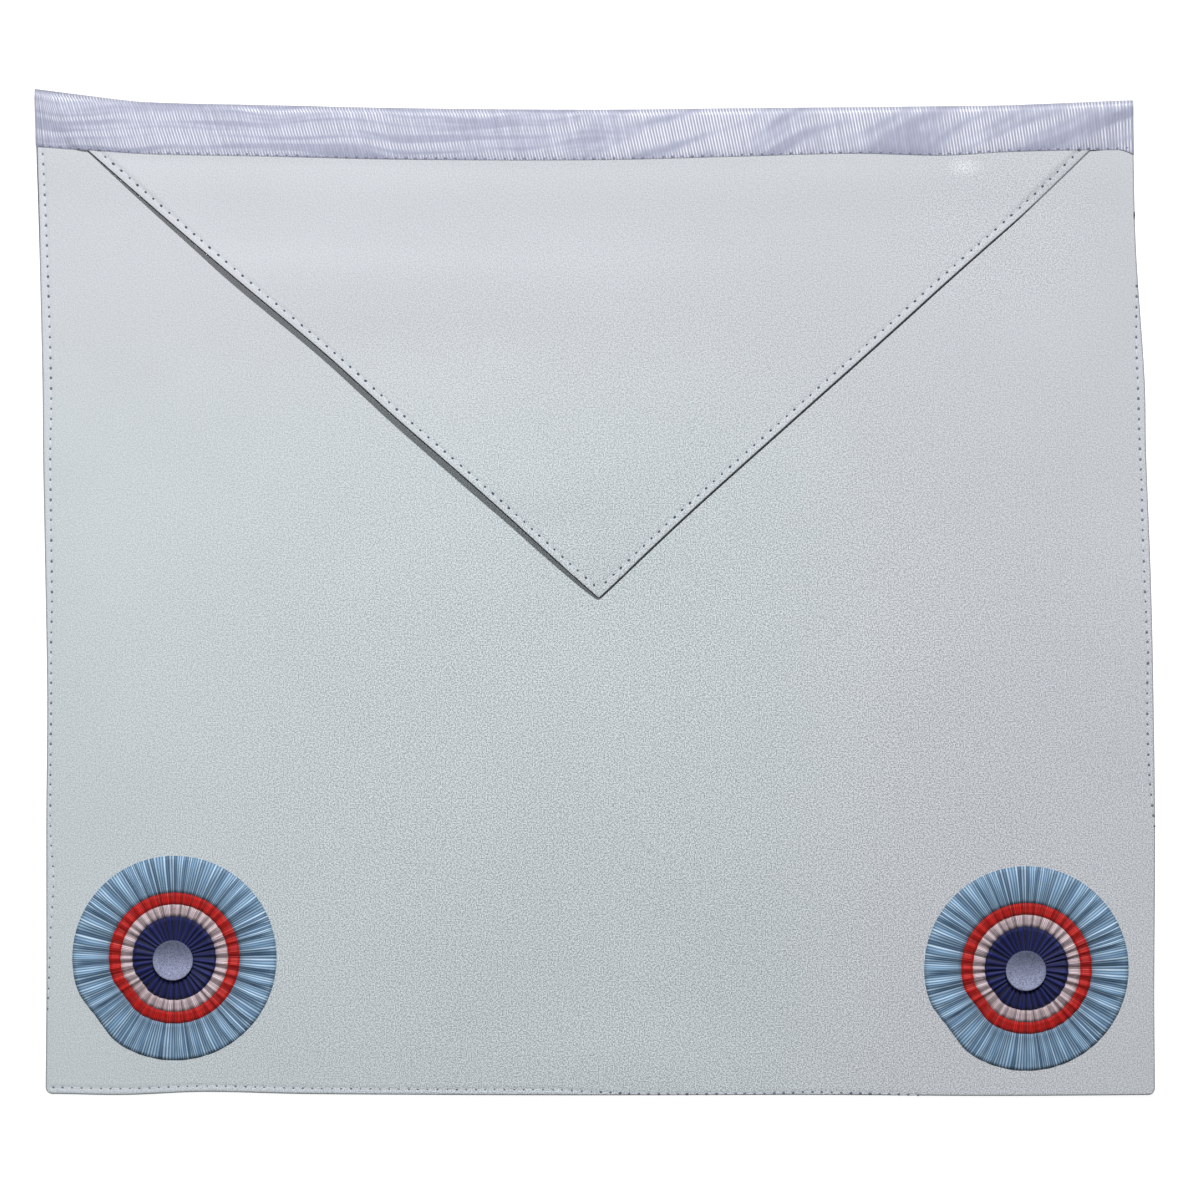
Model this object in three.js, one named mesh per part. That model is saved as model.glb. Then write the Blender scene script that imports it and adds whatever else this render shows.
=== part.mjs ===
// A masonic apron of pale leather, lying flat with its front up: a body with a triangular flap,
// a ribbon binding folded over the waist edge, and a pleated four-colour rosette with a covered
// button at each lower corner. Millimetres. X runs across the front to the right, Y up to the
// waist, and Z is 0 on the surface that the apron lies on.
import * as THREE from "three";
import { mergeVertices } from "three/addons/utils/BufferGeometryUtils.js";

const { lerp, clamp, degToRad } = THREE.MathUtils;

// Overall size, over the binding and the hems
const apronWidth = 409;
const apronHeight = 367.8;

// Walls of leather and ribbon, and the gap kept between pieces that touch
const leatherThickness = 1.5;
const flapThickness = 1.2;
const bindingThickness = 1;
const clearance = 0.3;

// Edges of the leather: the rounded rim, and the corners of the hem
const rimWidth = 0.7;
const rimDrop = 0.4;
const hemCornerRadius = 2.6;

// The waist binding: depth of its front leaf, and how much further the back leaf reaches
const bindingDepth = 19;
const bindingBackExtra = 2;
const tuckRun = 5.5; // the leather comes down to the table over this length

// The flap, measured from the waist, and the insets of its edges where they leave the binding
const flapDrop = 177.7;
const flapTipOffset = 1.3;
const flapTipBlunt = 0.8;
const flapInsetLeft = 19.1;
const flapInsetRight = 16.8;
const flapShoulder = 3;
const flapEdgeBow = 1;
const flapLift = 2.4;

// The binding comes down from the flap to the leather beside the flap's edge
const bindingStepStart = 4.5;
const bindingStepRun = 6;

// The rosettes: radius of the middle hole, then the stripes from the middle outwards
const rosetteHole = 4;
const navyStripe = 11.3;
const whiteStripe = 4.3;
const redStripe = 4.3;
const skyStripe = 13.4;
const rosetteMarginSide = 9.6;
const rosetteMarginHemLeft = 13.2;
const rosetteMarginHemRight = 9.4;

// Pleats of the rosettes: their number, wall, and depth, which falls across the navy stripe
// because the button draws the middle down, and again where the rim lies down on the leather
const pleatCount = 35;
const pleatWall = 1;
const pleatDepth = 1.2;
const pleatDepthMiddle = 0.2;
const pleatDepthRim = 0.2;
const pleatRimRun = 5;
const pleatCrestShare = 0.45; // where the crest stands in its pleat
const rosetteSeamAngle = 217;
const rosetteSeamWidth = 44;
const rosetteSeamDip = 0.035; // share of the radius

// Covered buttons, low ones that stand a little proud of the pleats, sewn on just off the middle
const buttonDiameter = 14.8;
const buttonRim = 0.6;
const buttonDome = 0.5;
const buttonOffset = new THREE.Vector2(-0.4, -0.7);

// Swells of the leather, away from the flap and the rosettes
const swellRise = 1;

// The two sides: how far each lies inside the overall width, as shares of it, from the waist down
const sideTable = [
  { down: 0, left: 0, right: 0.0205 },
  { down: 0.06, left: 0.001, right: 0.0195 },
  { down: 0.16, left: 0.0035, right: 0.017 },
  { down: 0.29, left: 0.0063, right: 0.0092 },
  { down: 0.36, left: 0.007, right: 0.008 },
  { down: 0.47, left: 0.0089, right: 0.0045 },
  { down: 0.6, left: 0.0105, right: 0.0018 },
  { down: 0.73, left: 0.0096, right: 0 },
  { down: 0.9, left: 0.0096, right: 0.0006 },
  { down: 1, left: 0.0089, right: 0 },
];

// The waist: how far it dips below the overall height, as a share of it, and the depth of the
// binding's front leaf as a share of bindingDepth
const waistTable = [
  { across: 0, dip: 0, depth: 1.115 },
  { across: 0.05, dip: 0.007, depth: 1.055 },
  { across: 0.1, dip: 0.013, depth: 1.01 },
  { across: 0.21, dip: 0.016, depth: 1 },
  { across: 0.33, dip: 0.019, depth: 1 },
  { across: 0.5, dip: 0.0205, depth: 0.98 },
  { across: 0.63, dip: 0.019, depth: 0.94 },
  { across: 0.73, dip: 0.018, depth: 0.905 },
  { across: 0.81, dip: 0.017, depth: 0.96 },
  { across: 0.87, dip: 0.016, depth: 0.91 },
  { across: 0.98, dip: 0.011, depth: 0.955 },
];

// The hem: how far it lies above the lowest point, as a share of the overall height
const hemTable = [
  { across: 0.02, rise: 0.002 },
  { across: 0.08, rise: 0.001 },
  { across: 0.15, rise: 0.004 },
  { across: 0.24, rise: 0.002 },
  { across: 0.4, rise: 0.001 },
  { across: 0.7, rise: 0.001 },
  { across: 0.86, rise: 0 },
  { across: 1, rise: 0.001 },
];

// How far the flap stands off the body along its two edges, as shares of flapLift
const liftTable = [
  { fall: 0, left: 0, right: 0 },
  { fall: 0.3, left: 0.6, right: 0.12 },
  { fall: 0.6, left: 1, right: 0.2 },
  { fall: 0.85, left: 0.8, right: 0.26 },
  { fall: 1, left: 0.4, right: 0.34 },
];

// Swells: middle and reach as shares of the overall width and height, rise as a share of swellRise
const swellTable = [
  { across: 0.01, down: 0.45, reachAcross: 0.13, reachDown: 0.2, rise: 0.9 },
  { across: 0.99, down: 0.55, reachAcross: 0.12, reachDown: 0.17, rise: 1 },
  { across: 0.52, down: 0.99, reachAcross: 0.2, reachDown: 0.09, rise: 0.8 },
];

// What follows from them
const flapFloor = bindingThickness + clearance + leatherThickness + clearance;
const stackHeight = flapFloor + flapThickness + clearance + bindingThickness;
const foldReach = stackHeight / 2;
const deepestLeaf = Math.max(...waistTable.map((row) => row.depth)) * bindingDepth;
const backDepth = deepestLeaf + bindingBackExtra;
const tuckStart = backDepth + clearance;
const tuckEnd = tuckStart + tuckRun;
const rosetteRadius = rosetteHole + navyStripe + whiteStripe + redStripe + skyStripe;

// A curve from 0 to 1 that starts and ends level
function smooth(share) {
  return THREE.MathUtils.smoothstep(share, 0, 1);
}

// Reads a column of a table between its rows, on a smooth curve through them.
function read(table, key, column, share) {
  const last = table.length - 1;
  const slope = (i) => {
    const before = table[Math.max(i - 1, 0)];
    const after = table[Math.min(i + 1, last)];
    return (after[column] - before[column]) / (after[key] - before[key]);
  };
  let i = 0;
  while (i < last - 1 && share > table[i + 1][key]) i++;
  const span = table[i + 1][key] - table[i][key];
  const t = clamp((share - table[i][key]) / span, 0, 1);
  const value = table[i][column] * (1 + 2 * t) * (1 - t) ** 2;
  const nextValue = table[i + 1][column] * (3 - 2 * t) * t * t;
  const bend = slope(i) * t * (1 - t) ** 2 - slope(i + 1) * t * t * (1 - t);
  return value + nextValue + bend * span;
}

// The outline: the sides give x at a height y, the waist and the hem give y at a place x.
const acrossAt = (x) => x / apronWidth + 0.5;
const downAt = (y) => 0.5 - y / apronHeight;
const leftSide = (y) => apronWidth * (read(sideTable, "down", "left", downAt(y)) - 0.5);
const rightSide = (y) => apronWidth * (0.5 - read(sideTable, "down", "right", downAt(y)));
const waist = (x) => apronHeight * (0.5 - read(waistTable, "across", "dip", acrossAt(x)));
const hem = (x) => apronHeight * (read(hemTable, "across", "rise", acrossAt(x)) - 0.5);
const leafDepth = (x) => bindingDepth * read(waistTable, "across", "depth", acrossAt(x));

// Where a row, a curve across the apron, meets a side.
function meet(row, side) {
  let x = side(row(0));
  for (let step = 0; step < 8; step++) x = side(row(x));
  return x;
}

// The flap's edges: straight lines from its tip through the points where they leave the binding,
// drawn on up to the sides of the apron, with a slight hollow.
const flapTip = waist(flapTipOffset) - flapDrop - flapTipBlunt;
const leaveLeft = new THREE.Vector2(leftSide(apronHeight / 2) + flapInsetLeft, 0);
const leaveRight = new THREE.Vector2(rightSide(apronHeight / 2) - flapInsetRight, 0);
leaveLeft.y = waist(leaveLeft.x) - leafDepth(leaveLeft.x);
leaveRight.y = waist(leaveRight.x) - leafDepth(leaveRight.x);

// The edge's x at a height y; the bow is greatest half way down.
function flapEdge(leave, y) {
  const share = (y - flapTip) / (leave.y - flapTip);
  const hollow = 4 * flapEdgeBow * share * (1 - share) * Math.sign(leave.x);
  return lerp(flapTipOffset, leave.x, share) - (share < 1 ? hollow : 0);
}
const flapLeft = (y) => Math.max(flapEdge(leaveLeft, y), leftSide(y));
const flapRight = (y) => Math.min(flapEdge(leaveRight, y), rightSide(y));

// How far a point lies outside the flap, square to its nearer edge
function outsideFlap(x, y) {
  const leave = x < flapTipOffset ? leaveLeft : leaveRight;
  const edge = flapEdge(leave, y);
  const slope = Math.atan2(leave.y - flapTip, Math.abs(leave.x - flapTipOffset));
  return (edge - x) * -Math.sign(leave.x) * Math.sin(slope);
}

// Heights of the leather: it swells a little, and rises over the binding's back leaf.
function swell(x, y) {
  return swellTable.reduce((sum, row) => {
    const across = (acrossAt(x) - row.across) / row.reachAcross;
    const down = (downAt(y) - row.down) / row.reachDown;
    const inside = Math.max(0, 1 - across ** 2 - down ** 2);
    return sum + swellRise * row.rise * inside ** 2;
  }, 0);
}
function bodyUnder(x, y) {
  const tucked = 1 - clamp((waist(x) - y - tuckStart) / tuckRun, 0, 1);
  return swell(x, y) + (bindingThickness + clearance) * tucked;
}
const bodyOver = (x, y) => bodyUnder(x, y) + leatherThickness;

// Turns a fine box into a bent sheet: place gives a point for a column, a row and a face.
function bentBox(columns, rows, place) {
  const geometry = new THREE.BoxGeometry(1, 1, 1, columns.length - 1, rows.length - 1, 1);
  const { position } = geometry.attributes;
  for (let i = 0; i < position.count; i++) {
    const column = Math.round((position.getX(i) + 0.5) * (columns.length - 1));
    const row = Math.round((position.getY(i) + 0.5) * (rows.length - 1));
    position.setXYZ(i, ...place(column, row, position.getZ(i) > 0));
  }
  return closed(geometry);
}

// Merges the vertices that the faces of a solid share.
function closed(geometry) {
  geometry.deleteAttribute("normal");
  geometry.deleteAttribute("uv");
  const merged = mergeVertices(geometry, 1e-4);
  merged.computeVertexNormals();
  return merged;
}

// Shares across a sheet, close together at its two rims
function columnShares(count, width) {
  const rim = rimWidth / width;
  const inner = Array.from({ length: count + 1 }, (_, i) => lerp(rim, 1 - rim, i / count));
  return [0, ...inner, 1];
}

// A sheet of leather between two sides. Each row gives y at a place x, and may draw its ends in.
function leatherSheet(columns, rows, sides, under, thickness) {
  const lastColumn = columns.length - 1;
  const lastRow = rows.length - 1;
  const ends = rows.map(({ y, drawnIn = 0 }) => ({
    left: meet(y, sides.left) + drawnIn,
    right: meet(y, sides.right) - drawnIn,
  }));
  return bentBox(columns, rows, (column, row, over) => {
    const x = lerp(ends[row].left, ends[row].right, columns[column]);
    const y = rows[row].y(x);
    const atRim = column === 0 || column === lastColumn || row === 0 || row === lastRow;
    const wall = over ? thickness - (atRim ? rimDrop : 0) : 0;
    return [x, y, under(x, y, columns[column]) + wall];
  });
}

// Rows under the binding and over its back leaf's edge keep their distance from the waist.
const waistRow = (distance) => ({ y: (x) => waist(x) - distance });

function bodyGeometry() {
  const cornerRows = [0, 0.3, 1].map((share) => ({
    y: (x) => hem(x) + hemCornerRadius * share,
    drawnIn: hemCornerRadius * (1 - Math.sqrt(1 - (1 - share) ** 2)),
  }));
  const levels = [0.035, 0.09, 0.17, 0.27, 0.37, 0.47, 0.57, 0.67, 0.77, 0.87, 0.95];
  const middleRows = levels.map((share) => ({
    y: (x) => lerp(hem(x) + hemCornerRadius, waist(x) - tuckEnd, share),
  }));
  const waistDistances = [tuckEnd, tuckStart, tuckStart / 2, foldReach + rimWidth, foldReach];
  const rows = [...cornerRows, ...middleRows, ...waistDistances.map(waistRow)];
  const sides = { left: leftSide, right: rightSide };
  return leatherSheet(columnShares(28, apronWidth), rows, sides, bodyUnder, leatherThickness);
}

function flapGeometry() {
  const foot = flapTip + flapTipBlunt;
  const fallAt = (x, y) => clamp((waist(x) - tuckEnd - y) / (waist(x) - tuckEnd - foot), 0, 1);
  const tipRows = [0, rimWidth].map((up) => ({ y: () => foot + up }));
  const middleRows = [0.03, 0.08, 0.15, 0.25, 0.37, 0.5, 0.63, 0.76, 0.89].map((share) => ({
    y: (x) => lerp(foot, waist(x) - tuckEnd, share),
  }));
  const waistDistances = [tuckEnd, tuckStart, tuckStart / 2, foldReach + flapShoulder];
  const shoulder = { ...waistRow(foldReach), drawnIn: flapShoulder };
  const rows = [...tipRows, ...middleRows, ...waistDistances.map(waistRow), shoulder];
  const under = (x, y, share) => {
    const fall = fallAt(x, y);
    const left = read(liftTable, "fall", "left", fall);
    const right = read(liftTable, "fall", "right", fall);
    return bodyOver(x, y) + clearance + flapLift * lerp(left, right, smooth(share));
  };
  const sides = { left: flapLeft, right: flapRight };
  return leatherSheet(columnShares(16, apronWidth), rows, sides, under, flapThickness);
}

// The binding: a front leaf on the flap, a round fold over the waist edge, and a back leaf.
function bindingGeometry() {
  const innerFront = (x, y) => {
    const past = (outsideFlap(x, y) - bindingStepStart) / bindingStepRun;
    return flapFloor + (flapThickness + clearance) * (1 - smooth(past));
  };
  const frontRow = (share) => (x, outer) => {
    const depth = leafDepth(x);
    const rim = share === 0 && outer ? rimDrop : 0;
    const y = waist(x) - lerp(depth, foldReach, share);
    return [y, innerFront(x, y) + (outer ? bindingThickness : 0) - rim];
  };
  const foldRow = (angle) => (x, outer) => {
    const y = waist(x) - foldReach;
    const reach = foldReach - (outer ? 0 : bindingThickness);
    const high = innerFront(x, y) + (outer ? bindingThickness : 0);
    const low = outer ? 0 : bindingThickness;
    const middle = (high + low) / 2;
    const turn = degToRad(angle);
    return [y + reach * Math.cos(turn), middle + (high - middle) * Math.sin(turn)];
  };
  const backRow = (share) => (x, outer) => {
    const y = waist(x) - lerp(foldReach, backDepth, share);
    return [y, outer ? 0 : bindingThickness];
  };
  const rows = [
    ...[0, rimWidth / bindingDepth, 0.25, 0.5, 0.75, 1].map(frontRow),
    ...[60, 30, 0, -30, -60].map(foldRow),
    ...[0, 1].map(backRow),
  ];
  const endShares = [0, 0.004, 0.01, 0.018, 0.026, 0.034, 0.042, 0.05, 0.06, 0.075];
  const middleShares = Array.from({ length: 11 }, (_, i) => lerp(0.13, 0.87, i / 10));
  const stations = [...endShares, ...middleShares, ...endShares.map((share) => 1 - share).reverse()];
  return bentBox(stations, rows, (station, row, outer) => {
    const start = lerp(leftSide(apronHeight / 2), rightSide(apronHeight / 2), stations[station]);
    const [y] = rows[row](start, outer);
    const x = lerp(leftSide(y), rightSide(y), stations[station]);
    return [x, ...rows[row](x, outer)];
  });
}

// Height of a crest above the rosette's underside; in a valley there is only the wall.
function crestHeight(radius) {
  const fromMiddle = clamp((radius - rosetteHole) / navyStripe, 0, 1);
  const fromRim = clamp((rosetteRadius - radius) / pleatRimRun, 0, 1);
  const risen = lerp(pleatDepthMiddle, pleatDepth, fromMiddle);
  return pleatWall + Math.min(risen, lerp(pleatDepthRim, pleatDepth, fromRim));
}

// The angle of a place counted in pleats. The pleats are a little uneven, as hand-laid ones are.
function pleatAngle(place) {
  const turn = (2 * Math.PI) / pleatCount;
  const uneven = 0.16 * Math.sin(11 * turn * place) + 0.1 * Math.sin(4 * turn * place + 1);
  return turn * (place + uneven);
}

// The ribbon's ends meet at a seam, where every border dips towards the middle.
function seamShrink(angle) {
  const off = Math.acos(Math.cos(angle - degToRad(rosetteSeamAngle)));
  return 1 - rosetteSeamDip * (1 - smooth(off / degToRad(rosetteSeamWidth / 2)));
}

// One stripe of a rosette: a flat ring turned on a lathe, whose top is then laid in pleats.
function stripeGeometry(innerRadius, outerRadius) {
  const shoulder = rosetteRadius - pleatRimRun;
  const corners = [
    [innerRadius, 0],
    [outerRadius, 0],
    [outerRadius, 1],
    ...(outerRadius > shoulder ? [[shoulder, 1]] : []),
    [innerRadius, 1],
    [innerRadius, 0],
  ];
  const profile = corners.map((corner) => new THREE.Vector2(...corner));
  const segments = 2 * pleatCount;
  const geometry = new THREE.LatheGeometry(profile, segments);
  const { position } = geometry.attributes;
  for (let i = 0; i < position.count; i++) {
    const column = Math.floor(i / profile.length) % segments;
    const { x: radius, y: top } = profile[i % profile.length];
    const crest = column % 2;
    const angle = pleatAngle(Math.floor(column / 2) + crest * pleatCrestShare);
    const place = radius * seamShrink(angle);
    const height = top * (crest ? crestHeight(radius) : pleatWall);
    position.setXYZ(i, place * Math.cos(angle), place * Math.sin(angle), height);
  }
  return closed(geometry);
}

// A covered button: a domed cap on the pleats, with a shank down the rosette's middle.
function buttonGeometry() {
  const shank = rosetteHole * (1 - rosetteSeamDip) - clearance - buttonOffset.length();
  const cap = buttonDiameter / 2;
  const foot = crestHeight(cap) + clearance;
  const dome = Array.from({ length: 6 }, (_, i) => {
    const turn = (i / 5) * (Math.PI / 2);
    return new THREE.Vector2(cap * Math.cos(turn), foot + buttonRim + buttonDome * Math.sin(turn));
  });
  dome[5].x = 0;
  const profile = [
    new THREE.Vector2(0, 0),
    new THREE.Vector2(shank, 0),
    new THREE.Vector2(shank, foot),
    new THREE.Vector2(cap - buttonRim / 2, foot),
    ...dome,
  ];
  const geometry = new THREE.LatheGeometry(profile, 24);
  geometry.rotateX(Math.PI / 2);
  return closed(geometry);
}

// Materials
const leather = new THREE.MeshStandardMaterial({ color: 0xc9cfd4, roughness: 0.7, metalness: 0 });
const binding = new THREE.MeshStandardMaterial({ color: 0xc3c5d9, roughness: 0.45, metalness: 0 });
const ribbonColours = { sky: 0x6e9ab8, red: 0xb41a1e, white: 0xd8cfcf, navy: 0x2a2c66 };
const buttonCloth = new THREE.MeshStandardMaterial({ color: 0x7c829a, roughness: 0.6, metalness: 0 });
const ribbonCloth = (color) => new THREE.MeshStandardMaterial({ color, roughness: 0.5, metalness: 0 });

function piece(name, geometry, material) {
  const mesh = new THREE.Mesh(geometry, material);
  mesh.name = name;
  return mesh;
}

// A rosette, with its middle at the group's origin and its underside at height 0
function rosette(side) {
  const group = new THREE.Group();
  const stripes = [
    { colour: "navy", width: navyStripe },
    { colour: "white", width: whiteStripe },
    { colour: "red", width: redStripe },
    { colour: "sky", width: skyStripe },
  ];
  let inner = rosetteHole;
  for (const { colour, width } of stripes) {
    const outer = inner + width;
    const gap = outer < rosetteRadius ? clearance : 0;
    const name = `rosette_${side}_${colour}_ribbon`;
    group.add(piece(name, stripeGeometry(inner, outer - gap), ribbonCloth(ribbonColours[colour])));
    inner = outer;
  }
  const button = piece(`rosette_${side}_button`, buttonGeometry(), buttonCloth);
  button.position.set(buttonOffset.x, buttonOffset.y, 0);
  group.add(button);
  return group;
}

// Places a rosette on the leather, its margins from the side and the hem given.
function placeRosette(group, side, direction, marginHem) {
  const y = -apronHeight / 2 + marginHem + rosetteRadius;
  const x = side(y) - direction * (rosetteMarginSide + rosetteRadius);
  group.position.set(x, y, bodyOver(x, y) + clearance);
  return group;
}

const apron = new THREE.Group();
apron.name = "apron";
apron.add(piece("apron_body", bodyGeometry(), leather));
apron.add(piece("flap", flapGeometry(), leather));
apron.add(piece("waist_ribbon", bindingGeometry(), binding));
apron.add(placeRosette(rosette("left"), leftSide, -1, rosetteMarginHemLeft));
apron.add(placeRosette(rosette("right"), rightSide, 1, rosetteMarginHemRight));

export default apron;
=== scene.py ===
# A masonic apron of pale leather, lying flat on a table and seen from straight above.
# Metres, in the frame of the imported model: X to the right, Y up to the waist, Z off the table.
import random
import bmesh
import bpy
from functools import lru_cache
from math import acos, atan2, copysign, cos, exp, hypot, pi, radians, sin, sqrt
from mathutils import Matrix, Vector, kdtree, noise


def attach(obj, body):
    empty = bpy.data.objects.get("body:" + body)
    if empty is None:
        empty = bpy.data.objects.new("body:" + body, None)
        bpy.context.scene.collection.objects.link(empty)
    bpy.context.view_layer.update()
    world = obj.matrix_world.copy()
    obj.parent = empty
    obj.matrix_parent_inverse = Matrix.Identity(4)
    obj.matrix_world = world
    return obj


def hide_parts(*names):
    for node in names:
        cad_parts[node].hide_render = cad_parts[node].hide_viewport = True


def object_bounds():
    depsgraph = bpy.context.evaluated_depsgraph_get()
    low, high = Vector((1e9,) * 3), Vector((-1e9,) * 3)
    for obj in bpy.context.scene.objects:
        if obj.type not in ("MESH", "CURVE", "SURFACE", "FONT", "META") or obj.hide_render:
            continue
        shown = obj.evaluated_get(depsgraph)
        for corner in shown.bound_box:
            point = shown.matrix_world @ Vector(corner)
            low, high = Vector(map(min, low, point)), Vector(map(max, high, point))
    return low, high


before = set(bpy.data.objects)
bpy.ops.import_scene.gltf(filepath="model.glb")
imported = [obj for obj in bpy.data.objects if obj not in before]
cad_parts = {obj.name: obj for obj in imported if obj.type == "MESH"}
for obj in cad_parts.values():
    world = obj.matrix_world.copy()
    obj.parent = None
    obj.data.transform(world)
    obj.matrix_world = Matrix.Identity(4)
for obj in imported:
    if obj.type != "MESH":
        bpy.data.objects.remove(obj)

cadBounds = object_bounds()
low, high = cadBounds
apronWidth = high.x - low.x
apronHeight = high.y - low.y
random.seed(11)
print("frame loaded")


# Curves and tables
def clamp(value, lowest=0.0, highest=1.0):
    return min(max(value, lowest), highest)


def mix(start, end, share):
    return start + (end - start) * share


def smooth(share):
    share = clamp(share)
    return share * share * (3 - 2 * share)


def hump(offset, reach):
    return exp(-((offset / reach) ** 2))


def readTable(table, column, share):
    # the value of a column between the places it is given at, on a smooth curve through them
    places, values = table["at"], table[column]
    last = len(places) - 1

    def slope(index):
        before, after = max(index - 1, 0), min(index + 1, last)
        return (values[after] - values[before]) / (places[after] - places[before])

    index = 0
    while index < last - 1 and share > places[index + 1]:
        index += 1
    span = places[index + 1] - places[index]
    t = clamp((share - places[index]) / span)
    value = values[index] * (1 + 2 * t) * (1 - t) ** 2 + values[index + 1] * (3 - 2 * t) * t * t
    return value + (slope(index) * t * (1 - t) ** 2 - slope(index + 1) * t * t * (1 - t)) * span


# Walls, gaps and the outline
apron = {
    "leather": 0.0015, "flapLeather": 0.001, "gap": 0.0003,
    "closeGap": 0.0001,  # between leather and ribbon sewn on it
    "leafWall": 0.0005,  # the binding's back leaf, pressed flat
    "hemCorner": 0.0026, "bindingDepth": 0.019, "bindingBackExtra": 0.002,
    "tuckRun": 0.019,
    # the dark edge is dye with painted shade over it
    "cutEdge": 0.0004,  # width of the dark edge
    "foldReach": 0.0028,  # from the leather's upper edge to the fold of the binding
    "swellRise": 0.001,
}

# In the tables "at" is the place, mostly a share of the way down or across the apron.
# how far the sides lie inside the overall width, as shares of it
sideTable = {
    "at": (0, 0.06, 0.16, 0.29, 0.36, 0.47, 0.6, 0.73, 0.9, 1),
    "left": (0, 0.001, 0.0035, 0.0063, 0.007, 0.0089, 0.0105, 0.0096, 0.0096, 0.0089),
    "right": (0.0205, 0.0195, 0.017, 0.0092, 0.008, 0.0045, 0.0018, 0, 0.0006, 0),
}

# dip of the waist as a share of the height, and depth of the binding as a share of its own
waistTable = {
    "at": (0, 0.05, 0.1, 0.21, 0.33, 0.5, 0.63, 0.73, 0.81, 0.87, 0.98),
    "dip": (0, 0.007, 0.013, 0.016, 0.019, 0.0205, 0.019, 0.018, 0.017, 0.016, 0.011),
    "depth": (1.115, 1.055, 1.01, 1, 1, 0.98, 0.94, 0.905, 0.96, 0.91, 0.955),
}

# rise of the hem above its lowest point, as a share of the height
hemTable = {
    "at": (0.02, 0.08, 0.15, 0.24, 0.4, 0.7, 0.86, 1),
    "rise": (0.002, 0.001, 0.004, 0.002, 0.001, 0.001, 0, 0.001),
}

# swells of the leather, as shares of the width, the height and the greatest rise
swellTable = [
    {"across": 0.01, "down": 0.45, "reachAcross": 0.13, "reachDown": 0.2, "rise": 0.9},
    {"across": 0.99, "down": 0.55, "reachAcross": 0.12, "reachDown": 0.17, "rise": 1},
    {"across": 0.52, "down": 0.99, "reachAcross": 0.2, "reachDown": 0.09, "rise": 0.8},
]


def acrossAt(x):
    return x / apronWidth + 0.5


def downAt(y):
    return 0.5 - y / apronHeight


def leftSide(y):
    return apronWidth * (readTable(sideTable, "left", downAt(y)) - 0.5)


def rightSide(y):
    return apronWidth * (0.5 - readTable(sideTable, "right", downAt(y)))


def waist(x):
    return apronHeight * (0.5 - readTable(waistTable, "dip", acrossAt(x)))


def hem(x):
    return apronHeight * (readTable(hemTable, "rise", acrossAt(x)) - 0.5)


def leafDepth(x):
    return apron["bindingDepth"] * readTable(waistTable, "depth", acrossAt(x))


topLeft = leftSide(apronHeight / 2)
topRight = rightSide(apronHeight / 2)
gap = apron["gap"]
closeGap = apron["closeGap"]
leafRise = apron["leafWall"] + closeGap
flapFloor = leafRise + apron["leather"] + closeGap
foldReach = apron["foldReach"]
deepestLeaf = max(waistTable["depth"]) * apron["bindingDepth"]
backDepth = deepestLeaf + apron["bindingBackExtra"]
tuckStart = backDepth + gap


def meet(row, side):
    # x where a row across the apron meets a side
    x = side(row(0))
    for _ in range(6):
        x = side(row(x))
    return x


# The rosettes' places are needed early, because the leather lies calm under them.
rosette = {
    "hole": 0.004, "navy": 0.0113, "white": 0.0043, "red": 0.0043, "sky": 0.0134,
    "marginSide": 0.0096, "marginHemLeft": 0.0132, "marginHemRight": 0.0094,
    "pleats": 35,
    "valley": 0.00004,  # height of the valleys over the floor
    "ribsPerPleat": 7, "ribRise": 0.00006, "ribbonWall": 0.00008, "seamAngle": 217,
    "seamWidth": 44, "seamDip": 0.042,
    "ribbonLength": 0.25,  # before it was pleated
}
rosetteRadius = sum(rosette[part] for part in ("hole", "navy", "white", "red", "sky"))

# height of the pleats from the hole, 0, to the rim, 1
crestTable = {
    "at": (0, 0.16, 0.36, 0.55, 0.7, 0.82, 0.9, 0.96, 1),
    "crest": (0.0005, 0.0008, 0.0014, 0.0011, 0.0015, 0.002, 0.0015, 0.0007, 0.0002),
}


def rosetteMiddle(side, direction, marginHem):
    y = -apronHeight / 2 + marginHem + rosetteRadius
    return side(y) - direction * (rosette["marginSide"] + rosetteRadius), y


rosetteSpots = {
    "left": rosetteMiddle(leftSide, -1, rosette["marginHemLeft"]),
    "right": rosetteMiddle(rightSide, 1, rosette["marginHemRight"]),
}


# Heights of the leather body
def swell(x, y):
    total = 0
    for row in swellTable:
        across = (acrossAt(x) - row["across"]) / row["reachAcross"]
        down = (downAt(y) - row["down"]) / row["reachDown"]
        total += row["rise"] * max(0, 1 - across**2 - down**2) ** 2
    return apron["swellRise"] * total


def ripple(x, y):
    # faint waves of the hide, none under the rosettes
    calm = smooth((waist(x) - y - tuckStart) / apron["tuckRun"])
    for spotX, spotY in rosetteSpots.values():
        calm *= smooth(hypot(x - spotX, y - spotY) / rosetteRadius - 1)
    wide = noise.noise(Vector((x * 17, y * 15, 3.1)))
    close = noise.noise(Vector((x * 46, y * 40, 8.4)))
    return calm * (0.00022 * wide + 0.00006 * close + 0.0002)


def bodyUnder(x, y):
    tucked = 1 - smooth((waist(x) - y - tuckStart) / apron["tuckRun"])
    return swell(x, y) + leafRise * tucked


def bodyOver(x, y):
    return bodyUnder(x, y) + apron["leather"]


# The flap's outline
flap = {
    "drop": 0.178, "tipOffset": 0.0013, "tipBlunt": 0.0005, "insetLeft": 0.0191,
    "insetRight": 0.0168, "lift": 0.0029,
    "pressLeft": 0.0004,  # how much thinner its edges are next to the binding
    "pressRight": 0.0007, "pressReach": 0.005, "stitchInset": 0.0027,
    "stitchPitch": 0.0039,
    "lastLeft": 0.0075,  # from the last needle hole to the tip
    "lastRight": 0.0089, "seamTop": 0.003, "seamReach": 0.02,
}

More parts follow.
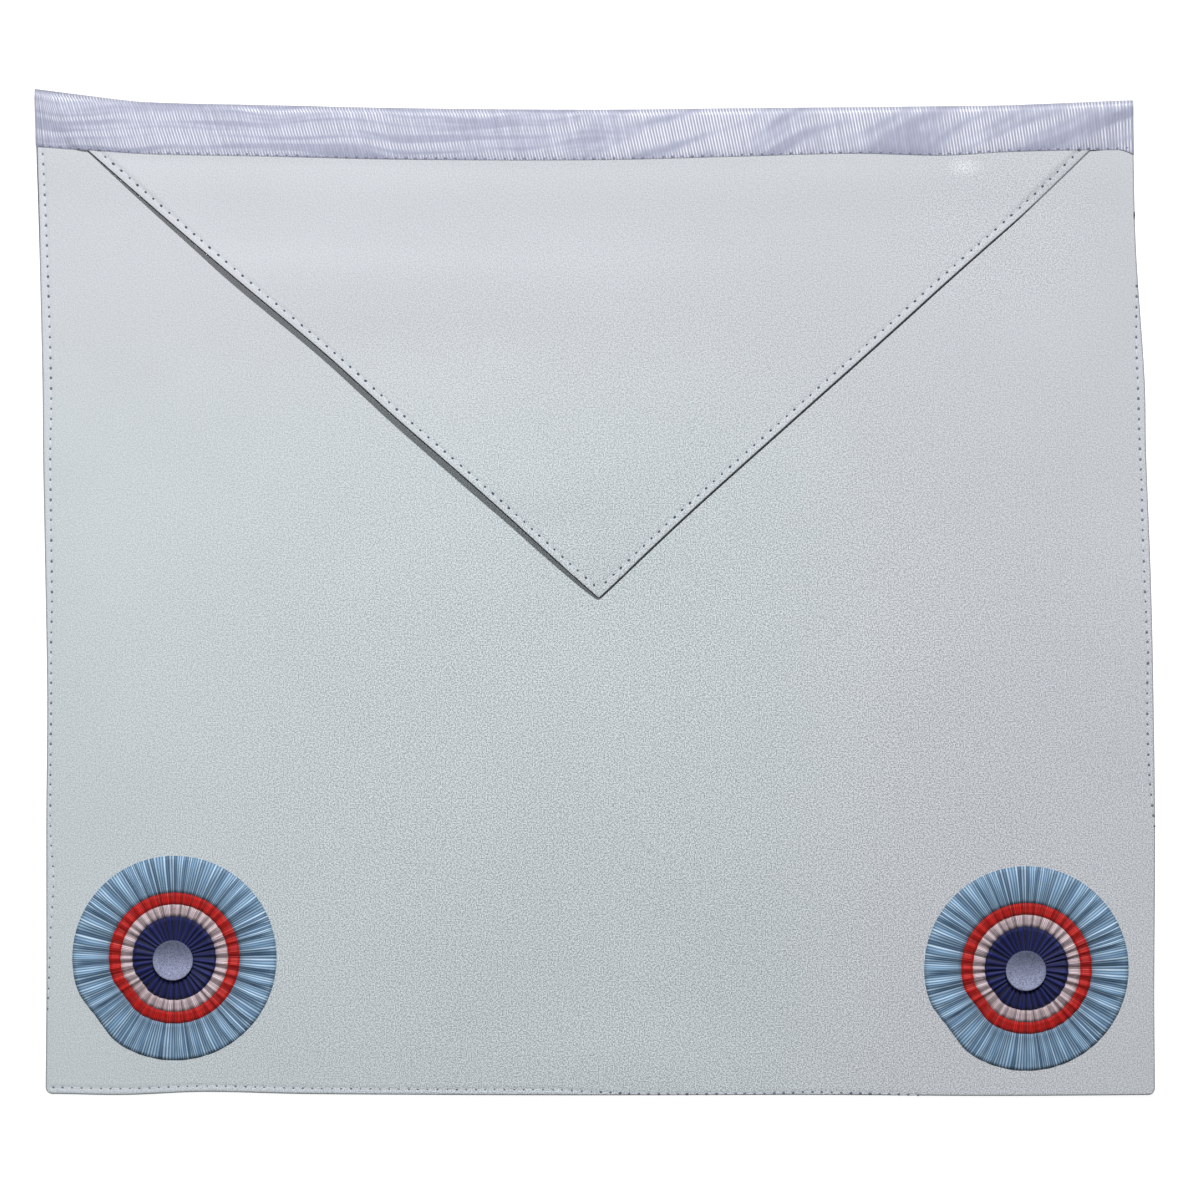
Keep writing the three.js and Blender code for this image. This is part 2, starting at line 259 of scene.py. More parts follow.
# how far the flap's edges swing out of straight lines, from the binding to the tip
swingTable = {
    "at": (0, 0.06, 0.14, 0.22, 0.3, 0.38, 0.46, 0.54, 0.6, 0.74, 0.82, 0.9, 0.96, 1),
    "left": (
        0.0001, 0.0001, 0.0001, 0, -0.0003, -0.0008, -0.0011,
        -0.0008, -0.0005, -0.0006, -0.0004, 0, 0.0002, 0.0002,
    ),
    "right": (
        0.0009, 0.0013, 0.0016, 0.0012, 0.0009, 0.0008, 0.0006,
        0.0003, 0.0001, -0.0004, -0.0005, -0.0003, 0, 0.0001,
    ),
}

# how far the flap stands off the body along its edges, as shares of its lift
liftTable = {
    "at": (0, 0.06, 0.1, 0.18, 0.25, 0.32, 0.42, 0.55, 0.74, 0.83, 0.9, 0.97, 1),
    "left": (0, 0.25, 0.34, 0.45, 0.73, 0.76, 0.68, 0.8, 0.85, 0.64, 0.56, 0.3, 0.06),
    "right": (0, 0, 0, 0, 0.01, 0.02, 0.02, 0.02, 0.02, 0.02, 0.02, 0.02, 0.02),
}

flapTip = waist(flap["tipOffset"]) - flap["drop"] - flap["tipBlunt"]
flapFoot = flapTip + flap["tipBlunt"]


def leavePoint(x):
    return Vector((x, waist(x) - leafDepth(x)))


leaveLeft = leavePoint(topLeft + flap["insetLeft"])
leaveRight = leavePoint(topRight - flap["insetRight"])


def slopeSine(leave):
    # of the angle between an edge of the flap and the waist
    return sin(atan2(leave.y - flapTip, abs(leave.x - flap["tipOffset"])))


def flapEdge(leave, y):
    share = (y - flapTip) / (leave.y - flapTip)
    swing = readTable(swingTable, "left" if leave.x < 0 else "right", clamp(1 - share))
    return mix(flap["tipOffset"], leave.x, share) + copysign(1, leave.x) * swing / slopeSine(leave)


def flapLeft(y):
    return max(flapEdge(leaveLeft, y), leftSide(y))


def flapRight(y):
    return min(flapEdge(leaveRight, y), rightSide(y))


def outsideFlap(x, y):
    # how far a point lies outside the flap, square to its nearer edge
    leave = leaveLeft if x < flap["tipOffset"] else leaveRight
    return (x - flapEdge(leave, y)) * copysign(slopeSine(leave), leave.x)


def flapInset(x, y):
    return max(-outsideFlap(x, y), 0)


def flapFall(x, y):
    top = waist(x) - deepestLeaf
    return clamp((top - y) / (top - flapFoot))


def flapPress(x, y):
    share = 1 - smooth((flapFall(x, y) - 0.05) / 0.12)
    depth = flap["pressLeft"] if x < 0 else flap["pressRight"]
    return depth * share * (1 - smooth(flapInset(x, y) / flap["pressReach"]))


# Making sheets: a fine grid in its own flat coordinates, doubled, and then laid in place
def stations(grid):
    # places across the apron: the given ends, then fine steps, and coarse ones between
    ends, band, fine, coarse = (grid[name] for name in ("ends", "band", "fine", "coarse"))
    fineCount = round((band - ends[-1]) / fine)
    near = list(ends) + [mix(ends[-1], band, (i + 1) / fineCount) for i in range(fineCount)]
    count = round((apronWidth - 2 * band) / coarse)
    middle = [mix(band, apronWidth - band, (i + 1) / count) for i in range(count - 1)]
    return near + middle + [apronWidth - place for place in reversed(near)]


def flatGrid(columns, rows):
    mesh = bmesh.new()
    lastColumn, lastRow = len(columns) - 1, len(rows) - 1
    bmesh.ops.create_grid(mesh, x_segments=lastColumn, y_segments=lastRow, size=0.5)
    for vert in mesh.verts:
        vert.co.x = columns[round((vert.co.x + 0.5) * lastColumn)]
        vert.co.y = rows[round((vert.co.y + 0.5) * lastRow)]
    return mesh


def doubleGrid(mesh):
    # the lower side of a sheet has z 0 and its upper side has z 1
    made = bmesh.ops.extrude_face_region(mesh, geom=mesh.faces[:], use_keep_orig=True)
    for part in made["geom"]:
        if isinstance(part, bmesh.types.BMVert):
            part.co.z = 1
    return mesh


def cutUpperBand(mesh):
    # shorter steps along the body's edges on its upper side, where the stitches pull it in
    band = body["band"]

    def inBand(edge):
        first, second = edge.verts
        if min(first.co.z, second.co.z) < 0.5 or (first.co - second.co).length < body["longest"]:
            return False
        alongSide = abs(first.co.x - second.co.x) < 1e-6
        nearSide = first.co.x <= band or first.co.x >= apronWidth - band
        alongHem = abs(first.co.y - second.co.y) < 1e-6
        return (alongSide and nearSide) or (alongHem and first.co.y <= band)

    picked = [edge for edge in mesh.edges if inBand(edge)]
    bmesh.ops.subdivide_edges(mesh, edges=picked, cuts=2, use_grid_fill=True)


def markVerts(mesh, name, share):
    layer = mesh.verts.layers.float.new(name)
    for vert in mesh.verts:
        vert[layer] = share(vert.co.x, vert.co.y)


def markLoops(mesh, name, place):
    layer = mesh.loops.layers.uv.new(name)
    for face in mesh.faces:
        for loop in face.loops:
            loop[layer].uv = place(loop.vert.co)


def faceOut(mesh):
    bmesh.ops.recalc_face_normals(mesh, faces=mesh.faces[:])


def laySheet(mesh, place):
    for vert in mesh.verts:
        vert.co = place(*vert.co)
    faceOut(mesh)


def addObject(name, data):
    made = bpy.data.objects.new(name, data)
    bpy.context.scene.collection.objects.link(made)
    return made


def newPiece(name, mesh, material, slotName, *nodes):
    data = bpy.data.meshes.new(name)
    mesh.to_mesh(data)
    mesh.free()
    data.shade_smooth()
    data.materials.append(material)
    piece = addObject(name, data)
    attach(piece, "root")
    if nodes:
        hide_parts(*nodes)
    return piece


def rimFall(inset, radius):
    # how far a rounded rim falls below the face at a distance inside the edge
    if inset >= radius:
        return 0
    across = radius - max(inset, 0)
    return radius - sqrt(max(radius * radius - across * across, 0))


# Shader nodes
class Wire:
    # An output socket of a node. Reckoning with it adds Math nodes.
    def __init__(self, material, socket=None):
        self.material = material
        self.socket = socket

    def node(self, kind, settings=None, inputs=None, output=0):
        tree = self.material.node_tree
        made = tree.nodes.new("ShaderNode" + kind)
        for name, value in (settings or {}).items():
            setattr(made, name, value)
        for name, value in (inputs or {}).items():
            if isinstance(value, Wire):
                tree.links.new(value.socket, made.inputs[name])
            else:
                made.inputs[name].default_value = value
        return Wire(self.material, made.outputs[output] if made.outputs else None)

    def reckon(self, operation, first, second=0.0):
        return self.node("Math", {"operation": operation}, {0: first, 1: second})

    def blend(self, factor, first, second, way="MIX"):
        settings = {"data_type": "RGBA", "blend_type": way}
        return self.node("Mix", settings, {0: factor, 6: first, 7: second}, 2)

    def ease(self, start, end, value, bottom=0.0, top=1.0):
        ends = {"From Min": start, "From Max": end, "To Min": bottom, "To Max": top}
        return self.node("MapRange", {"interpolation_type": "SMOOTHSTEP"}, {"Value": value, **ends})

    def noise(self, vector, scale, detail=0.0, output=0):
        return self.node("TexNoise", None, {"Vector": vector, "Scale": scale, "Detail": detail}, output)

    def chance(self, number):
        return self.node("TexWhiteNoise", {"noise_dimensions": "1D"}, {"W": number})

    def axis(self, vector, name):
        return self.node("SeparateXYZ", None, {"Vector": vector}, name)

    def vector(self, operation, first, second):
        return self.node("VectorMath", {"operation": operation}, {0: first, 1: second})

    def objectPlace(self):
        return self.node("TexCoord", output="Object")

    def mark(self, name):
        return self.node("Attribute", {"attribute_name": name}, output="Fac")

    def __add__(self, other):
        return self.reckon("ADD", self, other)

    __radd__ = __add__

    def __sub__(self, other):
        return self.reckon("SUBTRACT", self, other)

    def __rsub__(self, other):
        return self.reckon("SUBTRACT", other, self)

    def __mul__(self, other):
        return self.reckon("MULTIPLY", self, other)

    __rmul__ = __mul__


def paint(red, green, blue):
    # a colour as a screen shows it, 0 to 255, made linear
    def linear(value):
        share = value / 255
        return share / 12.92 if share <= 0.04045 else ((share + 0.055) / 1.055) ** 2.4

    return (linear(red), linear(green), linear(blue), 1)


def startLook(name):
    material = bpy.data.materials.new(name)
    material.use_nodes = True
    material.node_tree.nodes.clear()
    return Wire(material)


def finishLook(wire, bumps, colour, rough, gloss=0.5, more=None):
    # bumps are (height, distance, strength), from the coarsest to the finest
    surface = {"Base Color": colour, "Roughness": rough, "Specular IOR Level": gloss, **(more or {})}
    for height, distance, strength in bumps:
        inputs = {"Height": height, "Distance": distance, "Strength": strength}
        if "Normal" in surface:
            inputs["Normal"] = surface["Normal"]
        surface["Normal"] = wire.node("Bump", None, inputs)
    wire.node("OutputMaterial", None, {"Surface": wire.node("BsdfPrincipled", None, surface)})
    return wire.material


leatherPaint = {
    "cool": paint(201, 209, 212),
    "warm": paint(203, 206, 211),
    "hem": paint(211, 215, 225),
    # pale colour of a painted highlight
    "paintedGlint": paint(240, 243, 248),
    # dye of the cut edges, darkened to stand for the shade along them too
    "edge": paint(14, 16, 22),
    "patchScale": 120, "driftScale": 14, "pebbleScale": 1600, "fleckScale": 2200,
    "grainMost": 5.0, "grainLeast": 1.1, "crumple": 1.8,
}

# the grain is strongest low in the middle; the flap is crumpled at its right, with a painted highlight
# spot
leatherSpots = {
    "grain": {"middle": (0.031, -0.09, 0), "reach": (0.31, 0.28, 1), "core": 0.25},
    "crumple": {"middle": (0.15, 0.133, 0), "reach": (0.055, 0.045, 1), "core": 0.3},
    "paintedGlint": {"middle": (0.1345, 0.1553, 0), "reach": (0.0085, 0.0046, 1), "core": 0.0},
}


def spotShare(wire, place, name):
    # 1 in the middle of a spot, falling to 0 at its reach
    spot = leatherSpots[name]
    shares = wire.vector("DIVIDE", wire.vector("SUBTRACT", place, spot["middle"]), spot["reach"])
    away = wire.node("VectorMath", {"operation": "LENGTH"}, {0: shares}, "Value")
    return wire.ease(1.0, spot["core"], away)


def leatherLook():
    wire = startLook("grainedLeather")
    place = wire.objectPlace()
    patch = wire.noise(place, leatherPaint["patchScale"], 4.0)
    drift = wire.noise(place, leatherPaint["driftScale"], 2.0)
    fleckInputs = {"Vector": place, "Scale": leatherPaint["fleckScale"], "Detail": 1.0}
    fleck = wire.node("TexNoise", {"noise_dimensions": "2D"}, fleckInputs)
    pebble = wire.node("TexVoronoi", None, {"Vector": place, "Scale": leatherPaint["pebbleScale"]})
    most, least = leatherPaint["grainMost"], leatherPaint["grainLeast"]
    grain = least + (most - least) * spotShare(wire, place, "grain")
    grain = grain + leatherPaint["crumple"] * spotShare(wire, place, "crumple")
    # warmer up at the waist and along the right side
    coolTop = 1 - wire.ease(0.02, 0.13, wire.axis(place, "Y"))
    coolRight = 1 - wire.ease(0.03, 0.15, wire.axis(place, "X"))
    hue = wire.ease(0.0, 1.0, 1 - coolTop * coolRight + 0.5 * (patch - 0.5))
    colour = wire.blend(hue, leatherPaint["cool"], leatherPaint["warm"])
    colour = wire.blend(wire.mark("hem") * 0.3, colour, leatherPaint["hem"])
    speckle = 0.135 * (wire.ease(0.3, 0.7, fleck) - 0.5) - 0.05 * (pebble - 0.4)
    colour = wire.blend(1.0, colour, 0.93 + grain * speckle + 0.08 * (drift - 0.5), "MULTIPLY")
    # painted highlight: a pale spot on the flap's top right, broken up by the fine grain
    paintedGlint = spotShare(wire, place, "paintedGlint") * wire.ease(0.3, 0.8, fleck)
    colour = wire.blend(paintedGlint, colour, leatherPaint["paintedGlint"])
    # dyed cut edges with painted shade
    colour = wire.blend(wire.mark("edge"), colour, leatherPaint["edge"])
    rough = 0.5 + 0.14 * patch + 0.1 * fleck
    bumps = [(pebble * -1.0, 0.00008, 0.45), (fleck, 0.00004, 0.45)]
    return finishLook(wire, bumps, colour, rough, 0.4)


def threadLook(name, colour, rough):
    wire = startLook(name)
    place = wire.objectPlace()
    fibre = wire.noise(place, 3200.0, 2.0)
    shade = 0.45 + 0.4 * fibre + 0.7 * wire.noise(place, 260.0)
    tinted = wire.blend(1.0, colour, shade, "MULTIPLY")
    return finishLook(wire, [(fibre, 0.00004, 0.5)], tinted, rough, 0.25)


grainedLeather = leatherLook()
leatherThread = threadLook("leatherThread", paint(208, 212, 222), 0.6)
# painted shade of the needle holes, dark on the flap and paler on the body
needleHoleShade = threadLook("needleHoleShade", paint(80, 86, 100), 0.8)
paleHoleShade = threadLook("paleNeedleHoleShade", paint(112, 118, 131), 0.8)


# Stitches: a row of needle holes, with the thread between them
stitch = {
    "fromWaist": 0.0238, "sidePitch": 0.0037, "hemPitch": 0.00352, "uneven": 0.05,
    "threadRadius": 0.0002, "threadSunk": 0.00013, "threadEnd": 0.0003, "longest": 0.006,
    "holeAlong": 0.00054, "holeAcross": 0.00045, "holeDeep": 0.0001, "holeRaised": 0.00009,
    "faintBelow": 0.72,  # smaller holes on the left from here down
    "faintSize": 0.72, "pullDepth": 0.00015, "pullReach": 0.0008, "grooveDepth": 0.00005,
    "grooveReach": 0.0006, "puff": 0.00008,
}

# distance of the stitch rows from the edges, down the two sides, 0 where the seam has rolled under
leftRowTable = {
    "at": (0.05, 0.1, 0.31, 0.36, 0.51, 0.56, 0.735, 0.785, 0.84, 0.9, 0.935),
    "inset": (0.0022, 0.0026, 0.0032, 0.0027, 0.0023, 0.0016, 0.0016, 0.0027, 0.0016, 0.0008, 0),
}
rightRowTable = {
    "at": (0.18, 0.2, 0.27, 0.39, 0.455, 0.54, 0.56, 0.6, 0.65, 0.69, 0.73, 0.745),
    "inset": (0, 0.0008, 0.0026, 0.0022, 0.0025, 0.0021, 0.0018, 0.0024, 0.0024, 0.0018, 0.0004, 0),
}
hemRowTable = {
    "at": (0.013, 0.13, 0.38, 0.472, 0.484, 0.51, 0.536, 0.6, 0.66, 0.7, 0.73, 0.78, 0.81),
    "inset": (
        0.0025, 0.0023, 0.0021, 0.0021, 0.0016, 0.0012, 0.0006,
        0.0005, 0.0007, 0.0012, 0.0008, 0.0004, 0,
    ),
}


def rowInset(table, share):
    if not table["at"][0] <= share <= table["at"][-1]:
        return 0
    return max(readTable(table, "inset", share), 0)


def leftRow(y):
    return rowInset(leftRowTable, downAt(y))


def rightRow(y):
    return rowInset(rightRowTable, downAt(y))


def hemRow(x):
    return rowInset(hemRowTable, acrossAt(x))


def unevenSteps(start, end, pitch):
    # places from start to end, a pitch apart and a little uneven
    count = round(abs(end - start) / pitch)
    uneven = stitch["uneven"] * pitch
    return [mix(start, end, i / count) + random.uniform(-uneven, uneven) for i in range(count + 1)]


# place and size of the painted shade in the gap of the seam
seamGapShadow = {"down": 0.1254, "inset": 0.0003, "along": 0.0015, "across": 0.0003}
leastInset = 0.0003  # no stitches nearer to the edge
leftHoles, rightHoles, hemHoles = [], [], []
sideTop = apronHeight / 2 - stitch["fromWaist"]
for y in unevenSteps(sideTop, -apronHeight / 2 + 0.006, stitch["sidePitch"]):
    if leftRow(y) > leastInset:
        leftHoles.append(Vector((leftSide(y) + leftRow(y), y)))
    if rightRow(y) > leastInset:
        rightHoles.append(Vector((rightSide(y) - rightRow(y), y)))
for x in unevenSteps(-apronWidth / 2 + 0.0065, apronWidth / 2 - 0.006, stitch["hemPitch"]):
    if hemRow(x) > leastInset:
        hemHoles.append(Vector((x, hem(x) + hemRow(x))))
bodyRows = [leftHoles, rightHoles, hemHoles]


def needleTree(rows):
    points = [point for row in rows for point in row]
    tree = kdtree.KDTree(len(points))
    for index, point in enumerate(points):
        tree.insert(point.to_3d(), index)
    tree.balance()
    return tree


def pull(tree, x, y):
    # how far the nearest needle hole draws the leather down
    distance = tree.find((x, y, 0))[2]
    return stitch["pullDepth"] * hump(distance, stitch["pullReach"])


def seamShape(inset, row):
    # rise of a hem between its edge and its row of stitches, and share of the strip outside the row
    if row <= leastInset:
        return 0, 0
    strength = clamp(row / 0.0015)
    groove = -stitch["grooveDepth"] * hump(inset - row, stitch["grooveReach"])
    strip = stitch["puff"] * sin(pi * clamp(inset / row))
    inner = 0.35 * stitch["puff"] * hump(inset - row - 0.0016, 0.0009)
    return (groove + strip + inner) * strength, smooth((row - inset) / 0.0005) * strength


def addBall(mesh, around, rings, place, axes):
    # a ball drawn out along three axes
    shape = Matrix(axes).transposed().to_4x4()
    matrix = Matrix.Translation(place) @ shape
    bmesh.ops.create_uvsphere(mesh, u_segments=around, v_segments=rings, radius=1, matrix=matrix)


def stitchMesh(rows, height):
    # threads between the needle holes of each row
    mesh = bmesh.new()
    for row in rows:
        for first, second in zip(row, row[1:]):
            along = (second - first).to_3d()
            reach = along.length / 2 - stitch["threadEnd"]
            if along.length > stitch["longest"]:
                continue
            along.z = height(second.x, second.y) - height(first.x, first.y)
            along.normalize()
            side = along.cross(Vector((0, 0, 1))).normalized()
            up = side.cross(along)
            radius = stitch["threadRadius"]
            place = ((first + second) / 2).to_3d()
            place.z = height(place.x, place.y) - stitch["threadSunk"]
            addBall(mesh, 6, 6, place, (side * radius, up * radius, along * reach))
    return mesh


# dark discs at the needle holes stand for the shade inside them: painted shade
def holeShadeMesh(rows, height):
    mesh = bmesh.new()
    for row in rows:
        for index, point in enumerate(row):
            near = row[index + 1] if index + 1 < len(row) else row[index - 1]
            along = (near - point).to_3d().normalized()
            side = along.cross(Vector((0, 0, 1)))
            size = random.uniform(0.8, 1.2)
            if point.x < 0 and downAt(point.y) > stitch["faintBelow"]:
                size *= stitch["faintSize"]
            place = point.to_3d()
            place.z = height(point.x, point.y) + stitch["holeRaised"]
            reach, width = along * stitch["holeAlong"] * size, side * stitch["holeAcross"] * size
            addBall(mesh, 8, 4, place, (reach, width, (0, 0, stitch["holeDeep"])))
    faceOut(mesh)
    return mesh


def sewRows(name, rows, height, thread, hole, slotName="apron_leather"):
    stitches = newPiece(name + "Stitches", stitchMesh(rows, height), thread, slotName)
    return stitches, newPiece(name + "NeedleHoles", holeShadeMesh(rows, height), hole, slotName)


# The body
body = {
    "ends": (0, 0.00012, 0.00034, 0.0007),
    "band": 0.0062, "fine": 0.00042, "coarse": 0.003, "topBand": 0.032, "topStep": 0.0013,
    "longest": 0.0024,  # step in the upper band
    "roundOver": 0.0006, "roundUnder": 0.00035,
}
bodyNeedles = needleTree(bodyRows)


def bodyRowY(v, x):
    top = waist(x) - foldReach
    if v <= body["band"]:
        return hem(x) + v
    if v >= apronHeight - body["topBand"]:
        return top - (apronHeight - v)
    span = apronHeight - body["topBand"] - body["band"]
    return mix(hem(x) + body["band"], top - body["topBand"], (v - body["band"]) / span)


@lru_cache(maxsize=None)
def bodyRowEnds(v):
    drawnIn = rimFall(v, apron["hemCorner"])
    left = meet(lambda x: bodyRowY(v, x), leftSide) + drawnIn
    right = meet(lambda x: bodyRowY(v, x), rightSide) - drawnIn
    return left, right


def acrossRow(u, band, left, right):
    # a band at each end keeps its own width, and the middle takes up the rest
    narrow = min(1, (right - left) / (3 * band))
    if u <= band:
        return left + u * narrow
    if u >= apronWidth - band:
        return right - (apronWidth - u) * narrow
    return mix(left + band * narrow, right - band * narrow, (u - band) / (apronWidth - 2 * band))


def bodyInset(x, y):
    # distance inside the body's edge, round the corners of the hem too
    side = min(x - leftSide(y), rightSide(y) - x)
    rise = y - hem(x)
    corner = apron["hemCorner"]
    if side < corner and rise < corner:
        return corner - hypot(corner - side, corner - rise)
    return min(side, rise)


def bodySeam(x, y):
    # rise of the hems at a point, and its share of the strip outside the stitches
    if bodyInset(x, y) > 2 * body["band"]:
        return 0, 0
    shapes = (
        seamShape(x - leftSide(y), leftRow(y)),
        seamShape(rightSide(y) - x, rightRow(y)),
        seamShape(y - hem(x), hemRow(x)),
    )
    rise = sum(shape[0] for shape in shapes) - pull(bodyNeedles, x, y)
    return rise, max(shape[1] for shape in shapes)


def bodyFace(x, y):
    # height of the body's front, without its rounded rim
    return bodyOver(x, y) + ripple(x, y) + bodySeam(x, y)[0]


def bodyTop(x, y):
    return bodyFace(x, y) - rimFall(bodyInset(x, y), body["roundOver"])


def bodyPlace(u, v, w):
    left, right = bodyRowEnds(round(v, 6))
    x = acrossRow(u, body["band"], left, right)
    y = bodyRowY(v, x)
    if w > 0.5:
        return Vector((x, y, bodyTop(x, y)))
    inset = bodyInset(x, y)
    z = bodyUnder(x, y) + ripple(x, y) * smooth(inset / 0.03) + rimFall(inset, body["roundUnder"])
    return Vector((x, y, z))


def bodyEdgeDyeAndShade(x, y):
    # the cut edges are darkened, partly by dye and partly by painted shade, at the top left and beside
    # the gap in the seam
    if bodyInset(x, y) > apron["cutEdge"]:
        return 0
    top = 1 - smooth((downAt(y) - 0.12) / 0.06)
    return 0.45 + 0.4 * top if x < 0 else 0.4


# painted shade: a dark ball standing for the shade inside the gap in the seam
def gapShadowMesh():
    mesh = bmesh.new()
    y = apronHeight * (0.5 - seamGapShadow["down"])
    x = rightSide(y) - seamGapShadow["inset"]
    across, along = seamGapShadow["across"], seamGapShadow["along"]
    addBall(mesh, 8, 6, (x, y, bodyFace(x, y)), ((across, 0, 0), (0, along, 0), (0, 0, across)))
    return mesh


def bodyMesh():
    columns = stations(body)
    near = [step for step in columns if step <= body["band"] + 1e-9]
    middle = apronHeight - body["topBand"] - body["band"]
    count = round(middle / body["coarse"])
    rows = near + [body["band"] + middle * (i + 1) / count for i in range(count)]
    topCount = round(body["topBand"] / body["topStep"])
    rows += [apronHeight - body["topBand"] * (1 - (i + 1) / topCount) for i in range(topCount)]
    mesh = doubleGrid(flatGrid(columns, rows))
    cutUpperBand(mesh)
    laySheet(mesh, bodyPlace)
    markVerts(mesh, "hem", lambda x, y: bodySeam(x, y)[1])
    markVerts(mesh, "edge", bodyEdgeDyeAndShade)
    return mesh


bodyPiece = newPiece("apronLeather", bodyMesh(), grainedLeather, "apron_leather", "apron_body")
bodyThread, bodyHoles = sewRows("apron", bodyRows, bodyTop, leatherThread, paleHoleShade)
# near-black colour of the painted shade in the seam's gap
gapShadow = threadLook("gapShadow", paint(30, 32, 36), 0.9)
bodyGapShadow = newPiece("apronSeamGapShadow", gapShadowMesh(), gapShadow, "apron_leather")
print("body and its stitches made")


# The flap
flapGrid = {
    "ends": (0, 0.00038, 0.0005, 0.0009),
    "band": 0.0095, "fine": 0.00062, "coarse": 0.006, "round": 0.0003, "rowCount": 170,
}


def flapRowY(v, x):
    top = waist(x) - foldReach - closeGap
    return mix(flapFoot, top, v)


@lru_cache(maxsize=None)
def flapRowEnds(v):
    rise = v * (waist(0) - foldReach - flapFoot)
    drawnIn = 0.3 * rimFall(rise, flap["tipBlunt"])
    left = meet(lambda x: flapRowY(v, x), flapLeft) + drawnIn
    right = meet(lambda x: flapRowY(v, x), flapRight) - drawnIn
    return left, right


def flapUnder(x, y):
    fall = flapFall(x, y)
    left, right = flapLeft(y), flapRight(y)
    across = smooth((x - left) / max(right - left, 1e-6))
    lift = mix(readTable(liftTable, "left", fall), readTable(liftTable, "right", fall), across)
    return bodyOver(x, y) + ripple(x, y) + closeGap + flap["lift"] * lift


def flapRowPoints(leave):
    # needle holes along one edge of the flap, from the binding down to the tip
    length = (Vector((flap["tipOffset"], flapTip)) - leave).length
    sideways = copysign(flap["stitchInset"] / slopeSine(leave), leave.x)
    last = flap["lastLeft"] if leave.x < 0 else flap["lastRight"]
    points = []
    for share in unevenSteps(0, 1 - last / length, flap["stitchPitch"] / length):
        y = mix(leave.y, flapTip, share)
        points.append(Vector((flapEdge(leave, y) - sideways, y)))
    return points


flapRows = [flapRowPoints(leaveLeft), flapRowPoints(leaveRight)]
flapNeedles = needleTree(flapRows)


def flapSeam(x, y):
    inset = -outsideFlap(x, y)
    if inset > flap["seamReach"] or y > waist(x) - leafDepth(x) + flap["seamTop"]:
        return 0, 0
    rise, strip = seamShape(inset, flap["stitchInset"])
    return rise - pull(flapNeedles, x, y), strip


def flapFace(x, y):
    return flapUnder(x, y) + apron["flapLeather"] + flapSeam(x, y)[0] - flapPress(x, y)


def flapEdgeDyeAndShade(x, y):
    # share of the dark cut edge, partly dye and partly painted shade, less towards the top right
    if flapInset(x, y) > apron["cutEdge"]:
        return 0
    return 1 if x < flap["tipOffset"] else 0.6 + 0.2 * smooth(flapFall(x, y) / 0.35)


def flapPlace(u, v, w):
    left, right = flapRowEnds(round(v, 6))
    x = acrossRow(u, flapGrid["band"], left, right)
    y = flapRowY(v, x)
    inset = flapInset(x, y)
    if w < 0.5:
        z = flapUnder(x, y) + rimFall(inset, 0.6 * flapGrid["round"])
    else:
        z = flapFace(x, y) - rimFall(inset, flapGrid["round"])
    return Vector((x, y, z))


def flapMesh():
    columns = stations(flapGrid)
    rowCount = flapGrid["rowCount"]
    rows = [0, 0.0007, 0.002, 0.004] + [(i + 1) / rowCount for i in range(rowCount)]
    mesh = doubleGrid(flatGrid(columns, rows))
    laySheet(mesh, flapPlace)
    markVerts(mesh, "hem", lambda x, y: 0.5 * flapSeam(x, y)[1])
    markVerts(mesh, "edge", flapEdgeDyeAndShade)
    return mesh


flapPiece = newPiece("flapLeather", flapMesh(), grainedLeather, "apron_leather", "flap")
flapThread, flapHoles = sewRows("flap", flapRows, flapFace, leatherThread, needleHoleShade)
flapArea = 0.5 * (leaveRight.x - leaveLeft.x) * (leaveLeft.y - flapTip) + apronWidth * 0.0165
print("flap and its stitches made")


# The binding ribbon over the waist edge
binding = {
    "ribPitch": 0.00113, "columnsPerRib": 4, "ribRise": 0.00004, "slantLeft": 0.3,
    "slantRight": 0.08, "wall": 0.0005, "rimRound": 0.0001,
    "rimThin": 0.0004,  # how much thinner it is sewn down at its lower edge
    "rimRun": 0.0026, "stepStart": 0.0003, "stepRun": 0.003, "endFold": 0.0027,
    "endRise": 0.00018,
    "endDip": 0.0019,  # how far the lower edge sags at the right end
    "endDipRun": 0.0055, "stitchInset": 0.00075, "stitchPitch": 0.0036,
}
ribCount = round(apronWidth / binding["ribPitch"])


def innerFront(x, y):
    past = (outsideFlap(x, y) - binding["stepStart"]) / binding["stepRun"]
    return flapFloor + (apron["flapLeather"] + closeGap - flapPress(x, y)) * (1 - smooth(past))


def endSag(x):
    return binding["endDip"] * clamp(1 - (topRight - x) / binding["endDipRun"]) ** 1.6


def bindingThinned(fromEdge):
    # how much thinner the ribbon is near its sewn lower edge
    fall = rimFall(fromEdge, binding["rimRound"])
    return fall + binding["rimThin"] * (1 - smooth(fromEdge / binding["rimRun"]))


def bindingProfile(x, v, outer):
    # v runs from 0 to 1 up the front leaf, to 2 round the fold and to 3 down the back leaf
    if v <= 1:
        y = waist(x) - mix(leafDepth(x) + endSag(x), foldReach, v)
        thick = binding["wall"] - bindingThinned(v * leafDepth(x))
        return y, innerFront(x, y) + (thick if outer else 0)
    if v < 2:
        y = waist(x) - foldReach
        turn = radians(90 - 180 * (v - 1))
        reach = foldReach - (0 if outer else binding["wall"])
        top = innerFront(x, y) + (binding["wall"] if outer else 0)
        bottom = 0 if outer else apron["leafWall"]
        middle = (top + bottom) / 2
        return y + reach * cos(turn), middle + (top - middle) * sin(turn)
    y = waist(x) - mix(foldReach, backDepth, v - 2)
    return y, 0 if outer else apron["leafWall"]


